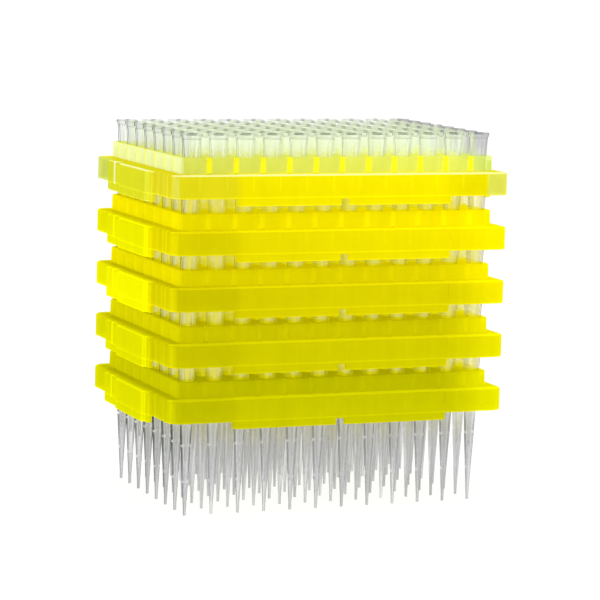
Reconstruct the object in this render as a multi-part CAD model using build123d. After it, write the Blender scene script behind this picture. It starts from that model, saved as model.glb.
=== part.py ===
from build123d import *
import os

# A refill stack for a pipette: identical moulded trays, nested one in another, each carrying a full
# grid of hollow conical pipette tips. The tips hang by the ribs of their heads on the tray's raised
# socket block. The socket tubes under each tray stand on the rims of the tips in the tray below, so
# every tip's point hangs inside the tip under it, and the whole stack stands on its lowest points.
# Millimetres, +Z up. X runs along a row of tips and Y across the rows. The origin is on the surface
# that the stack stands on, under the middle of the grid.

# the grid and the stack
COLUMNS = 12                # tips along X
ROWS = 8                    # tips along Y
PITCH = 9.0                 # spacing of the laboratory plate standard
TIERS = 5                   # trays in the stack
NEST_STEP = 17.6            # rise from one tray to the next

# one tip, measured up from its point
TIP_LENGTH = 50.6
TIP_WALL = 0.4
POINT_RADIUS = 0.43         # outside, at the very end
POINT_BORE = 0.24           # inside, at the very end
POINT_LENGTH = 2.5          # nearly straight end
POINT_TAPER = 0.04          # growth of the radius along that end
LOW_RING_HEIGHT = 10.9      # lower graduation ring
LOW_RING_RADIUS = 0.95      # tip's outer radius there
HIGH_RING_HEIGHT = 22.5     # upper graduation ring
HIGH_RING_RADIUS = 1.6
RING_RISE = 0.08            # how far a graduation ring stands out
RING_WIDTH = 0.5
HEAD_HEIGHT = 7.3           # part of the tip that stands above its socket
SEAT_RADIUS = 2.55          # outer radius where the tip enters its socket
NECK_RADIUS = 3.06          # outer radius just under the rim
BEVEL_HEIGHT = 0.55         # slope from the neck out to the rim
RIM_RADIUS = 3.42
RIM_HEIGHT = 0.85
LEAD_IN = 0.3               # chamfer inside the mouth
HEAD_RIBS = 8
RIB_WIDTH = 0.36
RIB_SEAT = 0.22             # how far a head rib reaches over the edge of its socket

# one tray
SOCKET_CLEARANCE = 0.08     # between a tip and the hole that it hangs in
TUBE_WALL = 1.05            # wall of a socket tube
BLOCK_HEIGHT = 5.2          # rise of the socket block above the deck
BLOCK_CORNER = 4.0
BLOCK_DRAFT = 2.0           # degrees
BLOCK_ROUND = 0.5           # rounding of its upper edge
FLUTE_RADIUS = 1.2          # upright grooves in the block's walls, between neighbouring sockets
FLUTE_DEPTH = 0.7
PLATE = 1.5                 # thickness of the block's top
WALL = 1.2                  # walls of the block and the skirt
DECK = 1.5                  # thickness of the ledge round the block
SIDE_LEDGE = 4.0            # from the block to the long sides
END_LEDGE = 3.75            # from the block to the short sides
TRAY_CORNER = 4.5
DECK_ROUND = 0.6            # rounding of the deck's outer edge
SHORT_SKIRT = 7.2           # depth of the skirt at the corners, from the deck's top
DEEP_SKIRT = 9.6            # depth of the skirt along the middle of each side
DEEP_SIDE = 73.4            # length of the deep skirt on a long side
DEEP_END = 44.4             # length of the deep skirt on a short side
SIDE_RECESS = 0.5           # on a long side the deep skirt lies this far inside the corners' face
END_PROUD = 1.15            # on a short side it stands this far out of it
PANEL_CORNER = 0.8          # rounding of the deep skirt's lower corners
NOTCH_WIDTH = 3.0           # notch in the middle of each long side
NOTCH_HEIGHT = 2.0
SKIRT_RIB = 0.9             # stiffening ribs inside the skirt
RIB_STOP = 2.05             # a rib ends this far above the skirt's edge
GRIP_PROUD = 1.2            # how far a finger grip stands out of the short side's deep skirt
GRIP_LENGTH = 26.1
GRIP_CENTER = -5.45         # place of the left grip along Y
GRIP_STEP = 0.4             # a grip is this much longer on each end at its root
GRIP_ROUND = 0.5            # rounding of its upright edges
GRIP_HOLLOW = 0.7           # rounding of their feet

# heights above a tray's own tip points
seat_z = TIP_LENGTH - HEAD_HEIGHT           # top of the socket block, where the head ribs stand
tube_foot_z = TIP_LENGTH - NEST_STEP        # the tubes end on the rims of the tier below
deck_z = seat_z - BLOCK_HEIGHT
deck_under_z = deck_z - DECK
short_z = deck_z - SHORT_SKIRT
deep_z = deck_z - DEEP_SKIRT

# plan sizes
block_x = COLUMNS * PITCH
block_y = ROWS * PITCH
tray_x = block_x + 2 * END_LEDGE
tray_y = block_y + 2 * SIDE_LEDGE
socket_radius = SEAT_RADIUS + SOCKET_CLEARANCE
tube_radius = socket_radius + TUBE_WALL
end_x = tray_x / 2 + END_PROUD
grip_x = end_x + GRIP_PROUD
OVERLAP = 0.2               # how deep a fused detail is rooted in its wall
CUT = 1.0                   # how far a cutter runs past the face that it opens


def spread(count, pitch):
    """Places of the boundaries between count neighbours, centred on zero."""
    return [pitch * (k - count / 2) for k in range(1, count)]


def bar(x0, x1, y0, y1, z0, z1):
    """A box between two corners."""
    return Pos((x0 + x1) / 2, (y0 + y1) / 2, (z0 + z1) / 2) * Box(x1 - x0, y1 - y0, z1 - z0)


def make_tip():
    """One hollow tip, standing on its point on the Z axis."""
    rim_z = TIP_LENGTH - RIM_HEIGHT
    neck_z = rim_z - BEVEL_HEIGHT
    mouth_radius = NECK_RADIUS - TIP_WALL
    point_top = POINT_RADIUS + POINT_TAPER

    def ring(radius, height):
        """A small raised ring on the tapering wall."""
        return [(radius, height - RING_WIDTH / 2), (radius + RING_RISE, height),
                (radius, height + RING_WIDTH / 2)]

    outside = [(POINT_RADIUS, 0), (point_top, POINT_LENGTH),
               *ring(LOW_RING_RADIUS, LOW_RING_HEIGHT),
               *ring(HIGH_RING_RADIUS, HIGH_RING_HEIGHT),
               (SEAT_RADIUS, seat_z), (NECK_RADIUS, neck_z),
               (RIM_RADIUS, rim_z), (RIM_RADIUS, TIP_LENGTH)]
    inside = [(mouth_radius + LEAD_IN, TIP_LENGTH), (mouth_radius, neck_z),
              (SEAT_RADIUS - TIP_WALL, seat_z),
              (HIGH_RING_RADIUS - TIP_WALL, HIGH_RING_HEIGHT),
              (LOW_RING_RADIUS - TIP_WALL, LOW_RING_HEIGHT), (POINT_BORE, 0)]
    section = make_face(Plane.XZ * Polyline(*outside, *inside, close=True))
    shape = revolve(section, Axis.Z)

    # the head ribs stand on the socket's edge and run out under the rim
    root = TIP_WALL / 2
    profile = Polyline((SEAT_RADIUS - root, seat_z), (socket_radius + RIB_SEAT, seat_z),
                       (NECK_RADIUS, neck_z), (NECK_RADIUS - root, neck_z), close=True)
    rib = extrude(make_face(Plane.XZ * profile), RIB_WIDTH / 2, both=True)
    return shape + [Rot(0, 0, 360 / HEAD_RIBS * k) * rib for k in range(HEAD_RIBS)]


def make_outline():
    """The skirt's plan: long sides with a recess, short sides with a step and a finger grip."""
    recesses = [Pos(0, side * tray_y / 2) * Rectangle(DEEP_SIDE, 2 * SIDE_RECESS) for side in (-1, 1)]
    outline = RectangleRounded(tray_x, tray_y, TRAY_CORNER) - recesses
    outline += Rectangle(2 * end_x, DEEP_END)
    face = GRIP_LENGTH / 2
    foot = face + GRIP_STEP
    grip = Pos(0, GRIP_CENTER) * make_face(Polyline((-end_x, -foot), (-grip_x, -face), (-grip_x, face),
                                                    (-end_x, foot), (0, foot), (0, -foot), close=True))
    outline = outline + grip + Rot(0, 0, 180) * grip
    outline = fillet(outline.vertices().filter_by(lambda v: abs(abs(v.X) - grip_x) < 0.01), GRIP_ROUND)
    ends = outline.vertices().filter_by(lambda v: abs(abs(v.X) - end_x) < 0.01)
    return fillet(ends.filter_by(lambda v: abs(v.Y) < DEEP_END / 2 - 1), GRIP_HOLLOW)


def make_skirt(outline):
    """The deck and its skirt: a shallow cap with deeper panels in its four sides."""
    cap = Pos(0, 0, deep_z) * extrude(outline, DEEP_SKIRT)
    cap = fillet(cap.faces().sort_by(Axis.Z)[-1].edges(), DECK_ROUND)
    hollow = offset(outline, -WALL, kind=Kind.INTERSECTION)
    cap -= Pos(0, 0, deep_z) * extrude(hollow, DEEP_SKIRT - DECK)

    # only the panels keep the full depth
    corners = Rectangle(2 * grip_x + CUT, tray_y + CUT)
    corners -= Rectangle(DEEP_SIDE, tray_y + 2 * CUT) + Rectangle(2 * grip_x + 2 * CUT, DEEP_END)
    corners += Rectangle(2 * (end_x - WALL), DEEP_END)
    cap -= Pos(0, 0, deep_z) * extrude(corners, DEEP_SKIRT - SHORT_SKIRT)
    lower = cap.edges().filter_by_position(Axis.Z, deep_z, deep_z)
    across = lower.filter_by(Axis.Y).filter_by(lambda e: abs(abs(e.center().X) - DEEP_SIDE / 2) < 0.01)
    along = lower.filter_by(Axis.X).filter_by(lambda e: abs(abs(e.center().Y) - DEEP_END / 2) < 0.01)
    cap = fillet(across + along, PANEL_CORNER)
    return cap - bar(-NOTCH_WIDTH / 2, NOTCH_WIDTH / 2, -tray_y, tray_y, deep_z - CUT, deep_z + NOTCH_HEIGHT)


def make_skirt_ribs(outline):
    """Stiffening ribs between the skirt and the block, one at each boundary between sockets."""
    bars = []
    half = SKIRT_RIB / 2
    top = deck_under_z + OVERLAP
    for x in spread(COLUMNS, PITCH):
        low = (deep_z if abs(x) < DEEP_SIDE / 2 else short_z) + RIB_STOP
        bars.append(bar(x - half, x + half, -tray_y, tray_y, low, top))
    for y in spread(ROWS, PITCH):
        low = (deep_z if abs(y) < DEEP_END / 2 else short_z) + RIB_STOP
        bars.append(bar(-tray_x, tray_x, y - half, y + half, low, top))
    reach = extrude(offset(outline, OVERLAP - WALL, kind=Kind.INTERSECTION) - Rectangle(block_x, block_y), top)
    return [beam & reach for beam in bars]


def make_block():
    """The raised socket block, still solid, with a flute between each pair of outer sockets."""
    foot = Pos(0, 0, deck_z) * RectangleRounded(block_x, block_y, BLOCK_CORNER)
    block = extrude(foot, BLOCK_HEIGHT, taper=BLOCK_DRAFT)
    block = fillet(block.faces().sort_by(Axis.Z)[-1].edges(), BLOCK_ROUND)
    stand_off = FLUTE_RADIUS - FLUTE_DEPTH
    flute = Pos(0, 0, deck_z + BLOCK_HEIGHT / 2) * Cylinder(FLUTE_RADIUS, BLOCK_HEIGHT)
    flutes = [Pos(x, side * (block_y / 2 + stand_off)) * flute
              for x in spread(COLUMNS, PITCH) for side in (-1, 1)]
    flutes += [Pos(side * (block_x / 2 + stand_off), y) * flute
               for y in spread(ROWS, PITCH) for side in (-1, 1)]
    return block - flutes


def make_tray():
    """One tray, at the height that it has over its own tip points."""
    outline = make_outline()
    tray = make_skirt(outline) + make_block()
    tray -= bar(WALL - block_x / 2, block_x / 2 - WALL, WALL - block_y / 2, block_y / 2 - WALL,
                deep_z - CUT, seat_z - PLATE)
    tray += make_skirt_ribs(outline)
    grid = GridLocations(PITCH, PITCH, COLUMNS, ROWS)
    posts = Sketch() + [place * Circle(tube_radius) for place in grid]
    holes = Sketch() + [place * Circle(socket_radius) for place in grid]
    tray += Pos(0, 0, tube_foot_z) * extrude(posts, seat_z - PLATE / 2 - tube_foot_z)
    return tray - Pos(0, 0, tube_foot_z) * extrude(holes, seat_z - tube_foot_z)


def save(node, shape):
    """Write one node's solids."""
    shape.label = node
    export_step(shape, f"parts/{node}.step")


def main():
    os.makedirs("parts", exist_ok=True)
    tray = make_tray()
    tip = make_tip()
    columns = GridLocations(PITCH, PITCH, COLUMNS, 1)
    for tier in range(TIERS):
        lift = tier * NEST_STEP
        save(f"tray_{tier + 1}", Pos(0, 0, lift) * tray)
        for row in range(ROWS):
            place = Pos(0, PITCH * (row - (ROWS - 1) / 2), lift)
            tips = [place * column * tip for column in columns]
            save(f"tips_{tier + 1}_row_{'abcdefghijkl'[row]}", Compound(children=tips))


main()
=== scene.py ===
"""A nested refill stack of yellow pipette tip trays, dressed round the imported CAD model.

Metres, in the CAD model's frame: +Z up, X along a row of tips, -Y to the front, the floor at zero.
"""
import math
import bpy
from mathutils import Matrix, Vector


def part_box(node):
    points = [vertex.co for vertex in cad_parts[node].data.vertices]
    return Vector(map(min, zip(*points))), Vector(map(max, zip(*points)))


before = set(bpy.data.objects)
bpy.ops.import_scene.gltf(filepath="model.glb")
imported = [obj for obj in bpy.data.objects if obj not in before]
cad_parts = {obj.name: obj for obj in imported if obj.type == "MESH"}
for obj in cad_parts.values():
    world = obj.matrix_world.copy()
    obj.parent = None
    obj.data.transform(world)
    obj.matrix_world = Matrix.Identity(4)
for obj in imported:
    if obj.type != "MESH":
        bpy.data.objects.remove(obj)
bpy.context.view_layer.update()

from types import SimpleNamespace

import bpy
from mathutils import Matrix, Vector

# the stack's rhythm, as the CAD model has it
PITCH = 0.009                   # spacing of the tips, both ways
NEST_STEP = 0.0176              # rise from one tray to the next
TIERS = 5
BLOCK_HEIGHT = 0.0052           # rise of the socket block above the deck
SHORT_SKIRT = 0.0072            # depth of the skirt at its corners
LIP = 0.0003                    # height of the painted grey edge of a tip's mouth
COLLAR = 0.0012                 # height of the collar under that

# heights of the lowest tray, then of the top one and its tips
DEEP_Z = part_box("tray_1")[0][2]     # lowest edge of the skirt
DECK_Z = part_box("tray_1")[1][2] - BLOCK_HEIGHT
SHORT_Z = DECK_Z - SHORT_SKIRT      # lower edge of the skirt's corners
TOP_DECK = DECK_Z + (TIERS - 1) * NEST_STEP
LIP_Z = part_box("tips_5_row_a")[1][2] - LIP
COLLAR_Z = LIP_Z - COLLAR
RING_HEIGHTS = (0.0109, 0.0225)     # the graduation rings of the lowest tips
RING_HALF = 0.0004
LINE_DEPTH = 0.0048             # how far below the deck the skirt's painted light lines run

# places on a tray, outwards from its middle
BLOCK_SIDE_Y = 0.0345           # the block's long walls are outside this
SKIRT_SIDE_Y = 0.0360           # the deck's ledge and the skirt's long sides are outside this
DEEP_SIDE_X = 0.0367            # end of the deep skirt on a long side
LAST_CELL_X = 0.0452            # start of the last socket's panel
LAST_LINE_X = 0.0492            # the skirt's last light line
END_WALL_X = 0.0532             # the block's end walls start here
PLAIN_END_X = 0.0555            # the skirt's ends
PANEL_END_X = 0.0565            # the deep panels and the grips on the ends stand outside this
CORNER_END_X = 0.0580           # end of the skirt's plain part next to its corner
DECK_END_X = 0.0584             # the deck's rim on the ends is outside this

# places among the tips
LEFT_COLUMN_X = -0.0455         # the left column is outside this
FRONT_ROW_Y = -0.0275           # the front row is outside this
LAST_COLUMN_X = 0.0460          # the right column is outside this
LIT_X = (-0.0510, 0.0475)       # the top heads between these are given the trays' light, painted as emission
LIT_Y = 0.038                   # where they are also nearer than this to the middle

# places on the ends, along Y: the first two as on the left end, the others towards the left of either end
# as it is seen from outside
PANEL_NEAR_Y = -0.0200
PANEL_FAR_Y = 0.0220
PLAIN_PART = 0.0200             # the plain part is past this
GRIP_EDGE = (0.0182, 0.0193)    # between these lies the painted highlight on the grip's near edge
GLINT = (-0.0163, -0.0146)      # and between these a painted highlight, a white line on the panel

# painted light and shade, as the light comes down through the stack, from the lowest tray up: the level of
# the socket block and of the skirt, how much both rise over RISE_LENGTH towards the right, and how much they
# rise at the right end, on the left end's panel and on its plain part in front of that; then how bright the
# painted light lines are, and how green the yellow is painted on each tray
BLOCK_LEVEL = (0.575, 0.65, 0.75, 0.85, 0.87)
SKIRT_LEVEL = (0.60, 0.655, 0.70, 0.81, 0.86)
RISE_LENGTH = 0.05
BLOCK_RISE = (0.0, 0.0, 0.02, 0.07, 0.08)
SKIRT_RISE = (0.01, 0.03, 0.05, 0.07, 0.04)
BLOCK_END = (0.50, 0.40, 0.22, 0.02, -0.16)
SKIRT_END = (0.33, 0.22, 0.22, 0.08, -0.05)
LEFT_END = (0.28, 0.23, 0.36, 0.12, -0.09)
NEAR_END = (0.21, 0.19, 0.20, 0.13, 0.02)
PAINTED_LINE_GLOW = (0.12, 0.12, 0.14, 0.20, 0.42)
GREEN = (0.98, 0.95, 0.92, 0.91, 0.91)
CORNER_SHADE = -0.09            # the skirt's plain part next to its corner is the darkest
RIGHT_SHADE = (0.2, 0.2, 0.2, 0.2, 0.8)     # share of that on the right
CLOUDINESS = 0.12

# half widths of the painted light lines, as shares of the pitch, and how bright they are on the skirt
LINE = 0.03
SIDE_LINE_MORE = 0.07           # wider on the block's long walls
END_LINE_MORE = 0.05            # and on its end walls
SKIRT_LINE_SHARE = 0.35

# painted glow: the dye's glow and the light through the walls, painted as emission, as a share of its level,
# and the painted highlights that the brightest parts add to it
PAINTED_GLOW = 0.38
PAINTED_HIGHLIGHTS = {"rim": 0.6, "low": 0.3, "pads": 0.45, "skirt_corner": 0.15, "glint": 0.5, "near_edge": 0.30}

# painted light: how pale the top tray's thin parts are painted, as white light shows through them with
# nothing yellow behind them
PAINTED_PALENESS = {"far_end": 0.95, "wing": 0.62, "last_cell": 1.0, "ends": 0.14, "left_shade": 0.06, "corner": 0.5}
BLOCK_PAINTED_PALENESS = (0.72, 0.95)       # the block, and the same at the right end

# the trays' colours; the pale and the white yellow are painted light through the top tray's thin parts and
# its painted highlights
DYE = 0.92
DYE_BLUE = 0.001
PALE_YELLOW = (0.66, 0.84, 0.54, 1.0)
WHITE_YELLOW = (0.95, 1.0, 0.72, 1.0)
THROUGH_DYE = (0.98, 0.97, 0.02, 1.0)
THROUGH_PALE = (0.90, 0.98, 0.60, 1.0)
THROUGH_SHARE = 0.28            # share of light that goes straight through a wall
THROUGH_PALE_SHARE = 0.2        # what the palest wall adds to it
SCATTER_SHARE = 0.30            # share of the rest that comes out on the far side
TRAY_ROUGHNESS = 0.3
PLASTIC_IOR = 1.49

# the tips' colours: their grey wall, with painted light and shade by place, and the light that they catch,
# painted as emission
GREY = (0.455, 0.455, 0.55, 1.0)
GREY_ABOVE = (0.52, 0.52, 0.56, 1.0)        # above the top tray
GREY_OUTER = (0.51, 0.51, 0.60, 1.0)        # above it, on its outer columns
GREY_EDGE = (0.12, 0.13, 0.13, 1.0)         # painted shade where the wall is seen edge on
CAUGHT_UNDER = (0.36, 0.34, 0.06, 1.0)      # under the lowest tray
CAUGHT_AMONG = (0.95, 0.86, 0.0, 1.0)
CAUGHT_ABOVE = (1.10, 1.27, 0.86, 1.0)
# painted reflection of the studio's dark side
DARK_LINE = (0.03, 0.06, 0.05, 1.0)

# how much of a tip's wall is haze: among the trays, what is added below them and where the wall is seen edge
# on, both painted shade, and how caught light and the painted shade of the last column's heads change it
HAZE = 0.14
HAZE_BELOW = 0.14
HAZE_EDGE_ON = 0.5
HAZE_CAUGHT = -0.25
HAZE_LAST_HEADS = 2.6
HAZE_SCATTER = 0.4              # share of the haze that lets light through
CAUGHT_SHARE = 0.85             # share of it that is caught light, at most
CAUGHT_HANGING = -0.7           # what hanging free under the stack takes from that
TIP_SHINE = 0.35
TIP_ROUGHNESS = 0.12

# how dark the painted dark lines are
OPEN_FRONT_LINE = 0.6           # on the front row, next to one on the left column
OTHER_LINE = 0.22
LIP_GREY = 0.08
LIP_DASH = 0.42
COLLAR_LINE = 0.18

# fixed directions in plan, to the left and the front of the stack as its front left corner is seen
TO_LEFT = (-0.925, 0.38, 0.0)
TO_FRONT = (-0.38, -0.925, 0.0)

# noises, each as its stretch along X, Y and Z, its scale and its detail
WALL_CLOUD = ((1.0, 1.0, 0.35), 160.0, 3.0)
END_STREAKS = ((1.0, 1.0, 0.02), 600.0, 1.0)
TIP_STREAKS = ((1.0, 1.0, 0.03), 900.0, 1.0)

# floor, light and camera
FLOOR_HALF = 12.0
FLOOR_DROP = 0.0002             # clear of the lowest points
FLOOR_GREY = (0.9, 0.9, 0.9, 1.0)
FLOOR_PLAIN_LEVEL = 1.07
FLOOR_PLAIN_SHARE = 0.85        # what is left of the floor's own shading keeps the shadow
LIGHT_FROM = (-0.45, -0.60, 0.66)
LIGHT_LEVEL = 0.85
LIGHT_LOBE = 0.6
CAMERA_PLACE = Vector((-0.3436, -0.8407, 0.1826))
CAMERA_TARGET = Vector((0.0012, 0.0, 0.0634))
CAMERA_ROLL = math.radians(1.433)
LENS_MM = 166.1
SENSOR_MM = 36.0
CLIP = (0.05, 60.0)


class Graph:
    """Short spelling for the nodes of a material or a world."""

    def __init__(self, owner):
        self.owner = owner
        owner.use_nodes = True
        self.tree = owner.node_tree
        self.tree.nodes.clear()

    def node(self, kind, **settings):
        made = self.tree.nodes.new(kind)
        for key, value in settings.items():
            setattr(made, key, value)
        return made

    def feed(self, socket, value):
        if isinstance(value, bpy.types.NodeSocket):
            self.tree.links.new(value, socket)
        else:
            socket.default_value = value

    def shader(self, kind, **inputs):
        """A shader's output, with its inputs given by name."""
        made = self.node(f"ShaderNode{kind}")
        for name, value in inputs.items():
            self.feed(made.inputs[name.replace("_", " ")], value)
        return made.outputs[0]

    def math(self, operation, a, b=0.0, c=0.0):
        made = self.node("ShaderNodeMath", operation=operation)
        for socket, value in zip(made.inputs, (a, b, c)):
            self.feed(socket, value)
        return made.outputs[0]

    def times(self, first, *others):
        for other in others:
            first = self.math("MULTIPLY", first, other)
        return first

    def most(self, first, *others):
        for other in others:
            first = self.math("MAXIMUM", first, other)
        return first

    def plus(self, base, value, factor):
        """A base with so much of a value added."""
        return self.math("MULTIPLY_ADD", value, factor, base)

    def without(self, share):
        return self.math("SUBTRACT", 1.0, share)

    def choose(self, share, first, second):
        """A number between two, by its share of the second."""
        return self.plus(first, share, second - first)

    def rise(self, value, start, soft):
        """Zero below a value and one above it, with a soft edge."""
        if isinstance(start, bpy.types.NodeSocket):
            value, start = self.math("SUBTRACT", value, start), 0.0
        ramp = self.node("ShaderNodeMapRange", interpolation_type="SMOOTHSTEP")
        self.feed(ramp.inputs["Value"], value)
        ramp.inputs["From Min"].default_value = start - soft
        ramp.inputs["From Max"].default_value = start + soft
        return ramp.outputs["Result"]

    def band(self, value, low, high, soft):
        """One inside low..high and zero outside, with soft edges."""
        return self.math("SUBTRACT", self.rise(value, low, soft), self.rise(value, high, soft))

    def mix_shader(self, share, first, second):
        made = self.node("ShaderNodeMixShader")
        for socket, value in zip(made.inputs, (share, first, second)):
            self.feed(socket, value)
        return made.outputs[0]

    def mix_colour(self, share, first, second):
        made = self.node("ShaderNodeMix", data_type="RGBA")
        self.feed(made.inputs["Factor"], share)
        self.feed(made.inputs["A"], first)
        self.feed(made.inputs["B"], second)
        return made.outputs["Result"]

    def vector(self, operation, a, b=(0.0, 0.0, 0.0)):
        made = self.node("ShaderNodeVectorMath", operation=operation)
        self.feed(made.inputs[0], a)
        made.inputs[1].default_value = b
        return made

    def scaled(self, colour, factor):
        """A colour times a number."""
        made = self.vector("SCALE", colour)
        self.feed(made.inputs["Scale"], factor)
        return made.outputs[0]

    def noise(self, point, stretch, scale, detail):
        """Noise over the model's own space, from zero to one."""
        made = self.node("ShaderNodeTexNoise")
        self.feed(made.inputs["Vector"], self.vector("MULTIPLY", point, stretch).outputs[0])
        made.inputs["Scale"].default_value = scale
        made.inputs["Detail"].default_value = detail
        return made.outputs["Fac"]

    def cell_lines(self, along, half_width):
        """One on the lines midway between neighbouring tips, and zero between them."""
        cell = self.math("FRACT", self.plus(0.5, along, 1 / PITCH))
        off = self.math("ABSOLUTE", self.math("SUBTRACT", cell, 0.5))
        return self.without(self.rise(off, half_width, 0.03))

    def normal(self):
        return self.node("ShaderNodeNewGeometry").outputs["Normal"]

    def turned(self, direction):
        """How far the surface is turned to a direction."""
        return self.vector("DOT_PRODUCT", self.normal(), direction).outputs["Value"]

    def turned_alike(self, direction):
        """The same, taken alike in all four quarters of the plan."""
        size = self.vector("ABSOLUTE", self.normal()).outputs[0]
        return self.vector("DOT_PRODUCT", size, direction).outputs["Value"]

    def place(self):
        """The point, then its own X, Y and Z in the model."""
        point = self.node("ShaderNodeTexCoord").outputs["Object"]
        split = self.node("ShaderNodeSeparateXYZ")
        self.feed(split.inputs[0], point)
        return point, *split.outputs

    def seen_rays(self):
        """One where the eye meets the surface, straight on or by a reflection, and zero for other light."""
        rays = self.node("ShaderNodeLightPath").outputs
        return self.most(rays["Is Glossy Ray"], rays["Is Transmission Ray"], rays["Is Camera Ray"])

    def finish(self, surface):
        """Gives a material its surface; its own light reaches other things by the bounced rays alone."""
        self.feed(self.node("ShaderNodeOutputMaterial").inputs["Surface"], surface)
        self.owner.cycles.emission_sampling = "NONE"
        return self.owner


def find_tray_parts(g, at):
    """Where the parts of a tray lie on its surface, each as a share from zero to one."""
    lift = at * NEST_STEP
    deck_z = DECK_Z + lift
    p = SimpleNamespace()
    p.point, x, y, z = g.place()
    far_x = g.math("ABSOLUTE", x)
    far_y = g.math("ABSOLUTE", y)
    to_end_left = g.times(y, g.math("SIGN", x))     # along either end, to its left as seen from outside
    p.x = x
    on_left = g.math("LESS_THAN", x, 0.0)

    # the socket block with its thin end walls, and the skirt with its corners
    p.block = g.rise(z, deck_z + 0.0003, 0.0003)
    skirt = g.without(p.block)
    p.pads = g.times(p.block, g.rise(far_x, END_WALL_X, 0.0006))
    p.last_cell = g.times(g.rise(x, LAST_CELL_X, 0.0006), p.block)
    # a painted highlight on the rounded corners, where they turn to one fixed direction in plan; on the top
    # tray it is also painted pale
    p.corner = g.rise(g.turned_alike((0.777, 0.629, 0.0)), 0.966, 0.014)
    p.skirt_corner = g.times(p.corner, skirt)
    shade = g.times(skirt, g.band(far_x, DEEP_SIDE_X, CORNER_END_X, 0.0030))
    p.shade = g.times(shade, g.choose(on_left, RIGHT_SHADE[at], 1.0))
    p.left_shade = g.times(p.shade, on_left)

    # painted light lines, as of light passing between the sockets: between the sockets on the block, and
    # half a pitch along on the skirt
    side_lines = g.cell_lines(g.plus(x, skirt, PITCH / 2), g.plus(LINE, p.block, SIDE_LINE_MORE))
    side_lines = g.times(side_lines, g.choose(p.block, SKIRT_LINE_SHARE, 1.0),
                         g.rise(z, deck_z - LINE_DEPTH, 0.0004), g.rise(far_y, BLOCK_SIDE_Y, 0.0005))
    end_lines = g.cell_lines(y, g.plus(LINE, p.block, END_LINE_MORE))
    p.seam = g.most(side_lines, g.times(end_lines, p.pads))
    p.pad_faces = g.times(p.pads, g.without(end_lines))

    # painted highlights: light gathers at the deck's rim and along the skirt's lower edges
    past_ledge = g.most(g.rise(far_y, SKIRT_SIDE_Y, 0.0006), g.rise(far_x, DECK_END_X, 0.0003))
    p.rim = g.times(g.band(z, deck_z - 0.0002, deck_z + 0.0001, 0.00012), past_ledge)
    p.low = g.math("ADD", g.band(z, SHORT_Z + lift, SHORT_Z + lift + 0.0004, 0.0001),
                   g.band(z, DEEP_Z + lift, DEEP_Z + lift + 0.0003, 0.0001))

    # the ends, with their panels, and the right side's outer part
    p.right_end = g.rise(x, 0.047, 0.012)
    left_face = g.without(g.rise(x, -PANEL_END_X, 0.001))
    past_near = g.rise(y, PANEL_NEAR_Y, 0.0012)
    p.left_end = g.times(left_face, past_near)
    p.near_end = g.times(left_face, g.without(past_near))
    p.plain_end = g.times(g.rise(far_x, PLAIN_END_X, 0.0012), g.rise(to_end_left, PLAIN_PART, 0.0006))
    p.ends = g.math("GREATER_THAN", far_x, PANEL_END_X)
    end_face = g.rise(far_x, PANEL_END_X, 0.001)
    p.far_end = g.times(g.rise(y, PANEL_FAR_Y, 0.0010), end_face)
    wing = g.math("SUBTRACT", skirt, g.rise(y, -SKIRT_SIDE_Y, 0.0020))
    p.wing = g.most(g.times(g.rise(x, LAST_LINE_X, 0.0004), wing), 0.0)

    # painted highlights on the grip's near edge and on a line beyond its far edge
    end_skirt = g.times(end_face, skirt)
    p.near_edge = g.times(end_skirt, g.band(to_end_left, *GRIP_EDGE, 0.0003))
    p.glint = g.times(end_skirt, g.band(to_end_left, *GLINT, 0.0002), g.rise(z, SHORT_Z + lift, 0.0004),
                      on_left)
    return p


def find_tray_level(g, p, at):
    """The painted light and shade at each place of a tray, as a level that scales its colour."""
    level = g.choose(p.block, SKIRT_LEVEL[at], BLOCK_LEVEL[at])
    turn = g.plus(1.0, p.right_end, g.choose(p.block, SKIRT_END[at], BLOCK_END[at]))
    turn = g.plus(turn, p.x, g.choose(p.block, SKIRT_RISE[at] / RISE_LENGTH, BLOCK_RISE[at] / RISE_LENGTH))
    turn = g.plus(turn, p.left_end, LEFT_END[at])
    turn = g.plus(turn, p.near_end, NEAR_END[at])
    turn = g.plus(turn, p.shade, CORNER_SHADE)
    # slow cloudiness of the moulded wall
    cloud = g.noise(p.point, *WALL_CLOUD)
    turn = g.plus(turn, g.math("SUBTRACT", cloud, 0.5), CLOUDINESS)
    return g.times(level, turn)


def find_tray_painted_glow(g, p, at):
    """How strongly the painted glow shows at each place of a tray: painted light through the walls, with
    painted highlights.
    """
    glow = g.times(p.seam, PAINTED_LINE_GLOW[at])
    for name, added in PAINTED_HIGHLIGHTS.items():
        glow = g.plus(glow, getattr(p, name), added)
    # painted streaks of light, fine and upright, strongest on the plain parts of the ends
    fine = g.noise(p.point, *END_STREAKS)
    streak = g.times(g.math("SUBTRACT", fine, 0.5), g.plus(0.10, p.plain_end, 0.60))
    return g.most(g.math("ADD", g.math("ADD", glow, streak), PAINTED_GLOW), 0.0)


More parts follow.
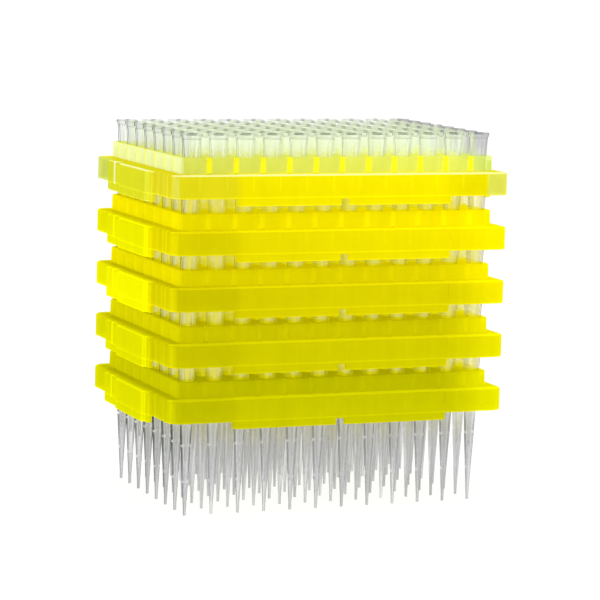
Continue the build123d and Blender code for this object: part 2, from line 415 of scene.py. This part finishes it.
def make_tray_material(tier):
    """Yellow translucent polypropylene, with painted light: a glow painted as emission where light passes
    through a wall, and painted highlights and shade.
    """
    g = Graph(bpy.data.materials.new(f"tray_yellow_{tier}"))
    at = tier - 1
    p = find_tray_parts(g, at)
    # the yellow's green differs by tray and on the left end's panel, as painted light
    colour = g.mix_colour(p.left_end, (DYE, DYE * GREEN[at], DYE_BLUE, 1.0), (DYE, DYE, DYE_BLUE, 1.0))
    through, through_share = THROUGH_DYE, THROUGH_SHARE
    if tier == TIERS:       # only the top tray has white light straight through it, painted as a paler colour, with painted white highlights
        pale = g.times(p.block, g.choose(p.right_end, *BLOCK_PAINTED_PALENESS))
        pale = g.most(pale, *(g.times(getattr(p, name), share) for name, share in PAINTED_PALENESS.items()))
        pale = g.times(pale, g.plus(1.0, p.seam, -0.9))
        # painted highlights: the faces of the block's end walls, the rim and the glint are painted white
        white = g.times(g.most(p.pad_faces, g.times(p.rim, 0.8), p.glint), 0.9)
        colour = g.mix_colour(g.times(pale, 0.5), colour, PALE_YELLOW)
        colour = g.mix_colour(white, colour, WHITE_YELLOW)
        through = g.mix_colour(pale, THROUGH_DYE, THROUGH_PALE)
        through_share = g.plus(THROUGH_SHARE, pale, THROUGH_PALE_SHARE)
    # painted light and shade: the colour is scaled by the level found for each place
    colour = g.scaled(colour, find_tray_level(g, p, at))

    # the glow is painted light, given to the body as emission
    body = g.shader("BsdfPrincipled", Base_Color=colour, Roughness=TRAY_ROUGHNESS, IOR=PLASTIC_IOR,
                    Specular_IOR_Level=0.0, Emission_Color=colour,
                    Emission_Strength=find_tray_painted_glow(g, p, at))
    solid = g.mix_shader(SCATTER_SHARE, body, g.shader("BsdfTranslucent", Color=colour))
    return g.finish(g.mix_shader(through_share, solid, g.shader("BsdfTransparent", Color=through)))


def find_tip_places(g):
    """Where a tip's surface lies in the stack, each as a share from zero to one."""
    p = SimpleNamespace()
    p.point, x, y, z = g.place()
    p.z = z
    p.among = g.rise(z, DEEP_Z - 0.006, 0.006)
    p.above = g.rise(z, TOP_DECK + 0.003, 0.006)
    p.under = g.rise(z, DEEP_Z + 0.001, 0.001)
    p.wide = g.rise(z, DEEP_Z, 0.004)       # the barrels are wide up here
    p.open_end = g.without(g.rise(x, LEFT_COLUMN_X, 0.001))
    p.open_front = g.without(g.rise(y, FRONT_ROW_Y, 0.001))
    inner_x = g.math("SUBTRACT", g.rise(x, LIT_X[0], 0.004), g.rise(x, LIT_X[1], 0.002))
    p.inside = g.times(inner_x, g.without(g.rise(g.math("ABSOLUTE", y), LIT_Y, 0.008)))
    p.outer = g.times(p.above, g.without(p.inside))
    p.last_heads = g.times(p.above, g.rise(x, LAST_COLUMN_X, 0.0008))
    return p


def find_dark_lines(g, p, facing):
    """Painted dark lines: the studio's dark side painted as it would show in a clear tip, and painted dark
    edges at the mouth and under the collar.
    """
    # along the left edges, most of all on the open sides of the stack
    line = g.rise(g.turned(TO_LEFT), g.choose(p.wide, 0.76, 0.90), 0.05)
    line = g.times(line, g.rise(facing, g.choose(p.wide, 0.36, 0.62), 0.08))
    for height in RING_HEIGHTS:             # the graduation rings glint across it
        line = g.times(line, g.without(g.band(p.z, height - RING_HALF, height + RING_HALF, 0.0001)))
    line = g.times(line, g.most(p.open_end, g.times(p.open_front, OPEN_FRONT_LINE), OTHER_LINE))
    # the mouth's edge is painted grey, and darkest in a short painted line along its front
    dash = g.rise(g.turned(TO_FRONT), g.choose(p.open_front, 0.972, 0.88), 0.02)
    lip = g.times(g.rise(p.z, LIP_Z, 0.0001), g.plus(LIP_GREY, dash, LIP_DASH))
    # a fine painted dark line runs under the collar
    under_collar = g.times(g.band(p.z, COLLAR_Z - 0.0002, COLLAR_Z, 0.0001), COLLAR_LINE)
    return g.most(line, lip, under_collar)


def make_tip_material():
    """Clear polypropylene: faintly cloudy across its wall, with painted shade where it is seen edge on and
    painted light and shade by place.
    """
    g = Graph(bpy.data.materials.new("tip_clear"))
    p = find_tip_places(g)
    edge = g.node("ShaderNodeLayerWeight")
    edge.inputs["Blend"].default_value = 0.5
    facing = edge.outputs["Facing"]
    edge_on = g.math("POWER", facing, 3.0)

    # painted light: tips among the trays are given the yellow walls' light as emission, palest above the top
    # tray and inside its outer columns, and least under the lowest tray on the open sides
    caught = g.times(p.among, g.plus(1.0, g.math("SUBTRACT", p.inside, 1.0), p.above))
    hanging = g.times(g.most(p.open_end, p.open_front), g.without(p.under))
    caught = g.times(caught, g.plus(1.0, hanging, CAUGHT_HANGING))
    light = g.mix_colour(p.above, g.mix_colour(p.under, CAUGHT_UNDER, CAUGHT_AMONG), CAUGHT_ABOVE)
    lit = g.shader("Emission", Color=light, Strength=g.plus(1.0, g.rise(p.z, COLLAR_Z, 0.0010), -0.2))

    # painted light and shade: the grey differs above the top tray and on its outer columns, and is darker
    # where the wall is seen edge on
    grey = g.mix_colour(p.outer, g.mix_colour(p.above, GREY, GREY_ABOVE), GREY_OUTER)
    cloudy = g.shader("BsdfDiffuse", Color=g.mix_colour(edge_on, grey, GREY_EDGE))
    haze = g.mix_shader(HAZE_SCATTER, cloudy, g.shader("BsdfTranslucent", Color=grey))
    haze = g.mix_shader(g.times(caught, CAUGHT_SHARE), haze, lit)

    share = g.plus(HAZE, g.without(p.among), HAZE_BELOW)
    share = g.plus(share, edge_on, HAZE_EDGE_ON)
    share = g.times(share, g.plus(1.0, caught, HAZE_CAUGHT), g.plus(1.0, p.last_heads, HAZE_LAST_HEADS))
    # fine upright lines, partly of the mould and partly painted light
    fine = g.noise(p.point, *TIP_STREAKS)
    share = g.times(share, g.most(g.plus(-1.5, fine, 5.0), 0.1))

    wall = g.mix_shader(share, g.shader("BsdfTransparent"), haze)
    shine = g.times(edge.outputs["Fresnel"], g.plus(TIP_SHINE, caught, -0.2))
    wall = g.mix_shader(shine, wall, g.shader("BsdfGlossy", Roughness=TIP_ROUGHNESS))
    dark = g.shader("BsdfDiffuse", Color=DARK_LINE)
    return g.finish(g.mix_shader(find_dark_lines(g, p, facing), wall, dark))


def dress_nodes():
    """Gives every carried-over CAD node its finish; the tips are left out of the bounced light."""
    trays = [make_tray_material(tier) for tier in range(1, TIERS + 1)]
    clear = make_tip_material()
    for name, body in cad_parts.items():
        kind, tier = name.split("_")[:2]
        body.data.materials.clear()
        body.data.materials.append(trays[int(tier) - 1] if kind == "tray" else clear)
        for rays in ("diffuse", "glossy", "transmission", "shadow"):
            setattr(body, f"visible_{rays}", kind == "tray")


def make_floor():
    """A plain white floor that runs out of sight and keeps the object's soft shadow."""
    half = FLOOR_HALF
    mesh = bpy.data.meshes.new("floor")
    mesh.from_pydata([(-half, -half, 0), (half, -half, 0), (half, half, 0), (-half, half, 0)],
                     [], [(0, 1, 2, 3)])
    floor = bpy.data.objects.new("floor", mesh)
    floor.location.z = -FLOOR_DROP
    bpy.context.collection.objects.link(floor)
    g = Graph(bpy.data.materials.new("floor_white"))
    matte = g.shader("BsdfDiffuse", Color=FLOOR_GREY)
    plain = g.shader("Emission", Strength=FLOOR_PLAIN_LEVEL)
    mesh.materials.append(g.finish(g.mix_shader(g.times(g.seen_rays(), FLOOR_PLAIN_SHARE), matte, plain)))


def make_light():
    """Soft studio light from all round, strongest from above on the front left, and seen as plain white."""
    world = bpy.data.worlds.new("studio")
    bpy.context.scene.world = world
    world.cycles.sampling_method = "NONE"   # so smooth a light is found by the bounced rays alone
    g = Graph(world)
    way = g.node("ShaderNodeTexCoord").outputs["Generated"]
    toward = g.vector("DOT_PRODUCT", way, LIGHT_FROM).outputs["Value"]
    level = g.plus(LIGHT_LEVEL, g.math("POWER", g.most(toward, 0.0), 2.0), LIGHT_LOBE)
    seen = g.seen_rays()
    strength = g.math("ADD", g.times(level, g.without(seen)), seen)
    back = g.shader("Background", Color=(1.0, 1.0, 1.0, 1.0), Strength=strength)
    g.feed(g.node("ShaderNodeOutputWorld").inputs["Surface"], back)


def make_camera():
    """The camera, on the front left."""
    data = bpy.data.cameras.new("camera")
    data.lens = LENS_MM
    data.sensor_width = SENSOR_MM
    data.clip_start, data.clip_end = CLIP
    camera = bpy.data.objects.new("camera", data)
    aim = CAMERA_TARGET - CAMERA_PLACE
    turn = aim.to_track_quat("-Z", "Y").to_matrix().to_4x4() @ Matrix.Rotation(CAMERA_ROLL, 4, "Z")
    camera.matrix_world = Matrix.Translation(CAMERA_PLACE) @ turn
    bpy.context.collection.objects.link(camera)
    bpy.context.scene.camera = camera


make_camera()
make_floor()
make_light()
dress_nodes()
bpy.context.scene.view_settings.view_transform = "Standard"
cycles = bpy.context.scene.cycles
cycles.transparent_max_bounces = 64     # a line of sight meets dozens of clear walls
cycles.max_bounces = 4
